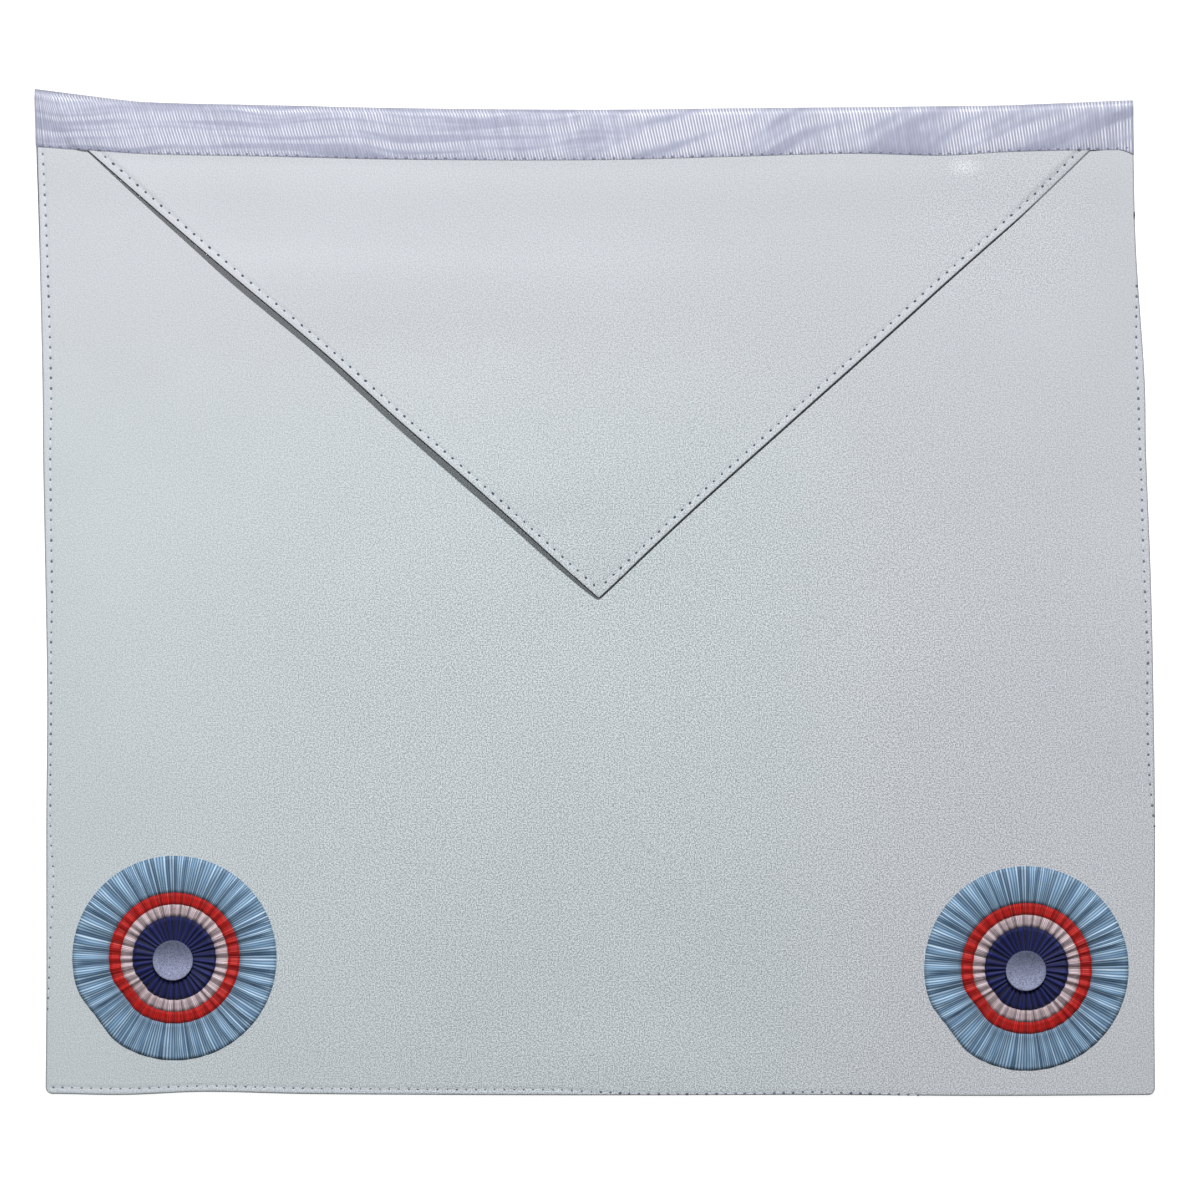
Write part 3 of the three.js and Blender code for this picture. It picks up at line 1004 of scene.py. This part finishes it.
def bindingPlace(u, v, w):
    outer = w > 0.5
    taper = clamp(min(u, 1 - u) / 0.03)
    slant = mix(binding["slantLeft"], binding["slantRight"], u)
    share = u - slant * min(v, 1.2) * apron["bindingDepth"] / apronWidth * taper
    start = mix(topLeft, topRight, share)
    y = bindingProfile(start, v, outer)[0]
    x = mix(leftSide(y), rightSide(y), share)
    y, z = bindingProfile(x, v, outer)
    if outer and 0.02 < v < 2:
        fromEnd = min(u, 1 - u) * apronWidth
        rib = binding["ribRise"] * (0.5 + 0.5 * cos(2 * pi * u * ribCount))
        folded = binding["endRise"] * (1 if u < 0.5 else 0.3)
        fold = folded * (1 - smooth((fromEnd - binding["endFold"]) / 0.0006))
        z += (rib + fold) * (1 if v <= 1 else max(sin(radians(90 - 180 * (v - 1))), 0))
    return Vector((x, y, z))


def bindingShadeLine(u, v):
    # share of the thin lines of painted shade at the ends, along the fold and along the lower edge
    fromEnd = min(u, 1 - u) * apronWidth
    crease = (0.6 if u < 0.5 else 0.1) * hump(fromEnd - binding["endFold"], 0.0003)
    brink = 0.7 * hump(fromEnd, 0.0004)
    top = (1 - 0.35 * smooth(u / 0.1)) * hump(v - 1.5, 0.25)
    sagging = (1 - u) * apronWidth < binding["endDipRun"]
    return max(crease, brink, top, (1 if sagging else 0.45) * hump(v, 0.016))


def bindingMesh():
    count = ribCount * binding["columnsPerRib"]
    columns = [i / count for i in range(count + 1)]
    front = [0, 0.012, 0.03, 0.07, 0.14, 0.3, 0.5, 0.7, 0.86, 1]
    fold = [1 + i / 7 for i in range(1, 8)]
    mesh = flatGrid(columns, front + fold + [2.3, 3])
    markVerts(mesh, "shadeLine", bindingShadeLine)
    markLoops(mesh, "ribbon", lambda flat: (flat.x * ribCount, flat.y))
    doubleGrid(mesh)
    laySheet(mesh, bindingPlace)
    return mesh


# the ribbon's colour, with a painted shade between ribs and a painted highlight on them
ribbonPaint = {
    "base": paint(180, 183, 203),
    "shade": paint(138, 141, 167),
    "shine": paint(246, 247, 253),
    # colour of the painted shade lines
    "shadeLine": paint(98, 98, 108),
    "bendScale": 24,
    "bend": (0.004, 0.012, 0),
    "rowSize": (0.062, 0.003, 1.0),
    "rowTurn": -1,
    "bandSize": (0.05, 0.0075, 1.0),
    "bandTurn": 24,
    "bandsFrom": -0.04,  # the rows of the left half turn into leaning bands from here
    "bandsRun": 0.07,
}


def bindingLook():
    wire = startLook("wateredRibbon")
    place = wire.objectPlace()
    thread = wire.node("UVMap", {"uv_map": "ribbon"})
    rib = wire.axis(thread, "X")
    wave = wire.reckon("COSINE", rib * (2 * pi)) * 0.5 + 0.5
    chance = wire.chance(wire.reckon("FLOOR", rib + 0.5))
    bend = wire.noise(place, ribbonPaint["bendScale"], 1.0, "Color")
    bent = wire.vector("ADD", place, wire.vector("MULTIPLY", bend, ribbonPaint["bend"]))

    def wateredSheen(kind):
        turn, size = radians(ribbonPaint[kind + "Turn"]), ribbonPaint[kind + "Size"]
        inputs = {"Vector": bent, "Rotation": (0, 0, turn), "Scale": size}
        return wire.noise(wire.node("Mapping", {"vector_type": "TEXTURE"}, inputs), 1.0, 1.0)

    start, run = ribbonPaint["bandsFrom"], ribbonPaint["bandsRun"]
    rightShare = wire.ease(start, start + run, wire.axis(place, "X"))
    # painted sheen: bright bands of the watered finish, in rows on the left and leaning bands on the
    # right
    band = (wateredSheen("row") - 0.02) * (1 - rightShare) + (wateredSheen("band") + 0.03) * rightShare
    sheen = wire.ease(0.42, 0.61, band + 0.06 * (chance - 0.5))
    sheenlessShade = wire.ease(0.5, 0.36, band)
    crisp = wave * wave
    streak = wire.noise(wire.vector("MULTIPLY", place, (900.0, 240.0, 1.0)), 1.0, 2.0)
    # painted shade between the ribs and over the bands without sheen, then a painted highlight on the
    # ribs in the bands of sheen
    colour = wire.blend((1 - wave) * (0.2 + 0.35 * sheen), ribbonPaint["base"], ribbonPaint["shade"])
    colour = wire.blend(sheenlessShade * 0.45, colour, ribbonPaint["shade"])
    shine = crisp * (0.1 + (0.58 + 0.24 * rightShare) * sheen)
    colour = wire.blend(shine, colour, ribbonPaint["shine"])
    colour = wire.blend(1.0, colour, 0.76 + 0.34 * streak + 0.1 * chance, "MULTIPLY")
    # painted shade along the end folds, the top fold and the lower edge
    colour = wire.blend(wire.mark("shadeLine"), colour, ribbonPaint["shadeLine"])
    bumps = [(wave, 0.00012, 0.5), (streak, 0.00005, 0.5)]
    return finishLook(wire, bumps, colour, 0.5 - 0.14 * sheen, 0.45, {"Sheen Weight": 0.1})


wateredRibbon = bindingLook()
bindingPiece = newPiece("waistRibbon", bindingMesh(), wateredRibbon, "binding_ribbon", "waist_ribbon")


def bindingFace(x, y):
    fromEdge = max(y - waist(x) + leafDepth(x) + endSag(x), 0)
    return innerFront(x, y) + binding["wall"] - bindingThinned(fromEdge)


def bindingRow():
    steps = unevenSteps(topLeft + 0.002, topRight - 0.002, binding["stitchPitch"])
    return [leavePoint(x) + Vector((0, binding["stitchInset"])) for x in steps]


def backTack():
    # two stitches on top of each other where the row starts
    start = leavePoint(topLeft + 0.0008)
    return [start + Vector((0, 0.0003)), start + Vector((0.0002, 0.0012))]


bindingRows = [bindingRow(), backTack()]
ribbonThread = threadLook("ribbonThread", paint(190, 194, 212), 0.6)
# painted shade of the needle holes in the ribbon
ribbonHoleShade = threadLook("ribbonNeedleHoleShade", paint(152, 156, 182), 0.8)
bindingThread, bindingHoles = sewRows(
    "waist", bindingRows, bindingFace, ribbonThread, ribbonHoleShade, "binding_ribbon"
)
bindingLength = topRight - topLeft
print("binding made")


# The pleated rosettes
# rise of a pleat across its place, as a share of its height
pleatTable = {
    "at": (0, 0.05, 0.1, 0.38, 0.44, 0.48, 0.54, 0.88, 0.94, 1),
    "rise": (0, 0.02, 0.12, 0.88, 0.99, 0.99, 0.9, 0.12, 0.02, 0),
}
# lit and shaded copies of each ribbon's colour, and the colour of a painted highlight on its shining
# threads
ribbonPaints = {
    "sky": {"lit": (142, 182, 217), "shaded": (80, 110, 142), "shine": (214, 236, 254)},
    "red": {"lit": (208, 8, 7), "shaded": (152, 4, 7), "shine": (230, 52, 34)},
    "white": {"lit": (230, 206, 212), "shaded": (180, 156, 157), "shine": (250, 240, 246)},
    "navy": {"lit": (16, 28, 104), "shaded": (5, 12, 30), "shine": (46, 54, 146)},
}
# painted shade: light left in the valleys of the pleats, height where it is full again, and how dark
# the ribbon is near the hole
ribbonShades = {
    "sky": {"hollow": 0.8, "hollowEnd": 0.55, "inner": 0.72},
    "red": {"hollow": 0.72, "hollowEnd": 0.34, "inner": 1.0},
    "white": {"hollow": 0.45, "hollowEnd": 0.36, "inner": 1.0},
    "navy": {"hollow": 0.22, "hollowEnd": 0.5, "inner": 1.0},
}


def pleatAngle(place):
    turn = 2 * pi / rosette["pleats"]
    uneven = 0.12 * sin(11 * turn * place) + 0.1 * sin(4 * turn * place + 1)
    return turn * (place + uneven)


def seamShrink(angle):
    off = acos(clamp(cos(angle - radians(rosette["seamAngle"])), -1, 1))
    share = smooth(off / radians(rosette["seamWidth"] / 2))
    return 1 - rosette["seamDip"] * (1 - share)


def crestHeight(radius):
    outwards = (radius - rosette["hole"]) / (rosetteRadius - rosette["hole"])
    return readTable(crestTable, "crest", outwards)


@lru_cache(maxsize=None)
def pleatRise(column, columns):
    # rise of the pleats at a column of the mesh, and the ribs' own rise
    place = column / columns
    t = place % 1
    number = int(place) % rosette["pleats"]
    tall = 0.965 - 0.02 * sin(number * 2.4) - 0.015 * sin(number * 5.1 + 1)
    lively = 0.6 + 0.4 * sin(place * 37.7)
    rib = cos(2 * pi * place * rosette["ribsPerPleat"]) * lively
    return readTable(pleatTable, "rise", t) * tall, rib


def stripeMesh(inner, outer, rowCount, spot):
    pleats = rosette["pleats"]
    perPleat = rosette["ribsPerPleat"] * 4
    count = pleats * perPleat
    radii = [mix(inner, outer, i / rowCount) for i in range(rowCount + 1)]
    mesh = flatGrid(list(range(count + 1)), radii)
    markLoops(mesh, "ribbon", lambda flat: (flat.x / perPleat, flat.y * 100))
    markVerts(mesh, "crest", lambda column, _: pleatRise(round(column) % count, perPleat)[0])
    floorZ = bodyOver(*spot) + closeGap
    valley = rosette["valley"]

    def heightAt(column, radius):
        rise = pleatRise(column % count, perPleat)[0]
        return floorZ + valley + rise * (crestHeight(radius) - valley)

    def place(column, radius, _):
        column = round(column)
        angle = pleatAngle(column / perPleat)
        reach = radius * seamShrink(angle)
        run = reach * (pleatAngle((column + 1) / perPleat) - pleatAngle((column - 1) / perPleat))
        climb = heightAt(column + 1, radius) - heightAt(column - 1, radius)
        tilt = atan2(climb, run)
        rib = rosette["ribRise"] * pleatRise(column % count, perPleat)[1]
        sideways = Vector((-sin(angle), cos(angle), 0)) * -sin(tilt) * rib
        point = Vector((spot[0] + reach * cos(angle), spot[1] + reach * sin(angle), 0))
        point.z = heightAt(column, radius) + cos(tilt) * rib
        return point + sideways

    for vert in mesh.verts:
        vert.co = place(*vert.co)
    bmesh.ops.remove_doubles(mesh, verts=mesh.verts[:], dist=1e-7)
    faceOut(mesh)
    if mesh.faces[0].normal.z < 0:
        bmesh.ops.reverse_faces(mesh, faces=mesh.faces[:])
    return mesh


def stripeLook(colour):
    # each rib has its own tone, pale, middling or dark, that changes a little along it
    wire = startLook(colour + "Ribbon")
    paints = {name: paint(*levels) for name, levels in ribbonPaints[colour].items()}
    shades = ribbonShades[colour]
    thread = wire.node("UVMap", {"uv_map": "ribbon"})
    outwards = wire.axis(thread, "Y")
    rib = wire.axis(thread, "X") * rosette["ribsPerPleat"]
    wave = wire.reckon("COSINE", rib * (2 * pi)) * 0.5 + 0.5
    number = wire.reckon("FLOOR", rib + 0.5)
    along = wire.node("CombineXYZ", None, {"X": number * 5.3, "Y": outwards * 0.7})
    weft = wire.node("CombineXYZ", None, {"X": rib * 2.0, "Y": outwards * 30.0})
    weave = wire.noise(weft, 1.0, 2.0)
    tone = 0.5 + 0.36 * (wire.chance(number) - wire.chance(number + 1.0))
    tone = tone + 0.4 * (wire.noise(along, 1.0, 1.0) - 0.5)
    # painted highlight along the tops of the paler ribs; the tone mixes the lit and shaded copies
    shine = wire.ease(0.3, 0.85, tone) * wave * wave
    tint = wire.blend(wire.ease(0.1, 0.55, tone), paints["shaded"], paints["lit"])
    tint = wire.blend(shine, tint, paints["shine"])
    # painted shade in the valleys of the pleats and between the ribs; darker near the hole too
    hollow = wire.ease(0.0, shades["hollowEnd"], wire.mark("crest"), shades["hollow"])
    # outwards is in centimetres from the middle of the rosette
    depth = wire.ease(2.4, 3.1, outwards, shades["inner"])
    shade = hollow * depth * (0.42 + 0.58 * wave + 0.16 * (weave - 0.5))
    tint = wire.blend(1.0, tint, shade, "MULTIPLY")
    bumps = [(wave, 0.00008, 0.5), (weave, 0.00005, 0.5)]
    return finishLook(wire, bumps, tint, 0.62 - 0.2 * shine, 0.35, {"Sheen Weight": 0.1})


stripeLooks = {colour: stripeLook(colour) for colour in ribbonPaints}

button = {
    "radius": 0.0074, "rim": 0.0006, "dome": 0.0005, "edgeRound": 0.00055,
    "offset": (-0.0004, -0.0007),  # sewn on just off the rosette's middle
    "footRise": 0.0013,  # of the rim's lower side over the shank's
    "lip": 0.00025,
}


def buttonLook():
    wire = startLook("buttonCloth")
    place = wire.objectPlace()
    mottle = wire.noise(place, 900.0, 3.0)
    weave = wire.noise(place, 2600.0, 1.0)
    # painted shade: the cloth turns darker towards the button's top
    shadeToTop = wire.ease(-0.9, 1.0, wire.axis(wire.node("UVMap", {"uv_map": "face"}), "Y"))
    colour = wire.blend(shadeToTop, paint(153, 158, 187), paint(77, 82, 104))
    shade = 0.54 + 0.3 * mottle + 0.7 * wire.ease(0.3, 0.7, weave)
    colour = wire.blend(1.0, colour, shade, "MULTIPLY")
    return finishLook(wire, [(weave, 0.00006, 0.6)], colour, 0.55 + 0.2 * mottle, 0.3)


buttonCloth = buttonLook()


def buttonMesh(spot):
    floorZ = bodyOver(*spot) + gap
    cap = button["radius"]
    foot = floorZ + button["footRise"]
    shank = rosette["hole"] * (1 - rosette["seamDip"]) - gap - hypot(*button["offset"])
    profile = [(0, floorZ), (shank, floorZ), (shank, foot), (cap - 0.0006, foot)]
    profile.append((cap - 0.0001, foot + 0.00015))
    for step in range(1, 5):
        turn = step / 4 * pi / 2
        across = cap - button["edgeRound"] * (1 - cos(turn))
        profile.append((across, foot + button["lip"] + button["rim"] * sin(turn)))
    top = foot + button["lip"] + button["rim"]
    inside = cap - button["edgeRound"]
    for share in (0.9, 0.75, 0.55, 0.3, 0.12, 0):
        profile.append((inside * share, top + (button["dome"] - 0.0003) * sqrt(1 - share * share)))
    mesh = bmesh.new()
    verts = [mesh.verts.new((across, 0, height)) for across, height in profile]
    edges = [mesh.edges.new(pair) for pair in zip(verts, verts[1:])]
    turned = {"cent": (0, 0, 0), "axis": (0, 0, 1), "angle": 2 * pi, "steps": 72}
    bmesh.ops.spin(mesh, geom=verts + edges, use_merge=True, **turned)
    bmesh.ops.remove_doubles(mesh, verts=mesh.verts[:], dist=1e-6)
    faceOut(mesh)
    markLoops(mesh, "face", lambda spot: (spot.x / cap, spot.y / cap))
    place = Vector(spot) + Vector(button["offset"])
    bmesh.ops.translate(mesh, verts=mesh.verts[:], vec=place.to_3d())
    return mesh


for side, spot in rosetteSpots.items():
    inner = rosette["hole"]
    for colour, rowCount in (("navy", 7), ("white", 3), ("red", 3), ("sky", 9)):
        outer = inner + rosette[colour]
        mesh = stripeMesh(inner, outer, rowCount, spot)
        name = f"{side}{colour.capitalize()}Ribbon"
        node = f"rosette_{side}_{colour}_ribbon"
        piece = newPiece(name, mesh, stripeLooks[colour], colour + "_ribbon", node)
        wall = piece.modifiers.new("wall", "SOLIDIFY")
        wall.thickness = rosette["ribbonWall"]
        wall.offset = -1
        inner = outer
    buttonPiece = newPiece(
        side + "Button", buttonMesh(spot), buttonCloth, "button_cloth", f"rosette_{side}_button"
    )
    print(side, "rosette made")


# Floor, light and camera
studio = {
    "floorSize": 4.0,
    "floorColour": paint(168, 168, 168),
    "floorGlow": 0.9,
    "worldColour": (0.8, 0.89, 1, 1),
    "worldStrength": 0.055,
}

# turn is in degrees from +X to +Y, and lean in degrees from straight above
lamps = {
    "key": {"turn": 80, "lean": 39, "distance": 2.3, "size": 0.15, "power": 52.2},
    "fill": {"turn": 161, "lean": 26, "distance": 0.7, "size": 0.3, "power": 1.19},
}


def makeFloor():
    mesh = bmesh.new()
    bmesh.ops.create_grid(mesh, x_segments=1, y_segments=1, size=studio["floorSize"] / 2)
    data = bpy.data.meshes.new("floor")
    mesh.to_mesh(data)
    mesh.free()
    floor = addObject("floor", data)
    floor.location.z = -gap
    glow = {"Emission Color": (1, 1, 1, 1), "Emission Strength": studio["floorGlow"]}
    data.materials.append(finishLook(startLook("paleFloor"), [], studio["floorColour"], 0.9, 0.5, glow))


def makeLights():
    world = bpy.data.worlds.new("studio")
    world.use_nodes = True
    background = world.node_tree.nodes["Background"]
    background.inputs["Color"].default_value = studio["worldColour"]
    background.inputs["Strength"].default_value = studio["worldStrength"]
    bpy.context.scene.world = world
    for name, lamp in lamps.items():
        turn, lean = radians(lamp["turn"]), radians(lamp["lean"])
        aside = sin(lean)
        towards = Vector((aside * cos(turn), aside * sin(turn), cos(lean)))
        light = bpy.data.lights.new(name, "AREA")
        light.shape = "DISK"
        light.size = lamp["size"]
        light.energy = lamp["power"]
        lit = addObject(name, light)
        lit.location = towards * lamp["distance"]
        lit.rotation_euler = towards.to_track_quat("Z", "Y").to_euler()


photo = {"middle": (0.0017, -0.0027), "frameWidth": 0.4382, "lens": 100, "sensor": 36}


def makeCamera():
    data = bpy.data.cameras.new("camera")
    data.lens = photo["lens"]
    data.sensor_width = photo["sensor"]
    camera = addObject("camera", data)
    distance = photo["frameWidth"] * photo["lens"] / photo["sensor"]
    camera.location = (*photo["middle"], distance + apron["leather"])
    bpy.context.scene.camera = camera


makeFloor()
makeLights()
makeCamera()
bpy.context.scene.view_settings.view_transform = "Standard"
print("floor, light and camera made")
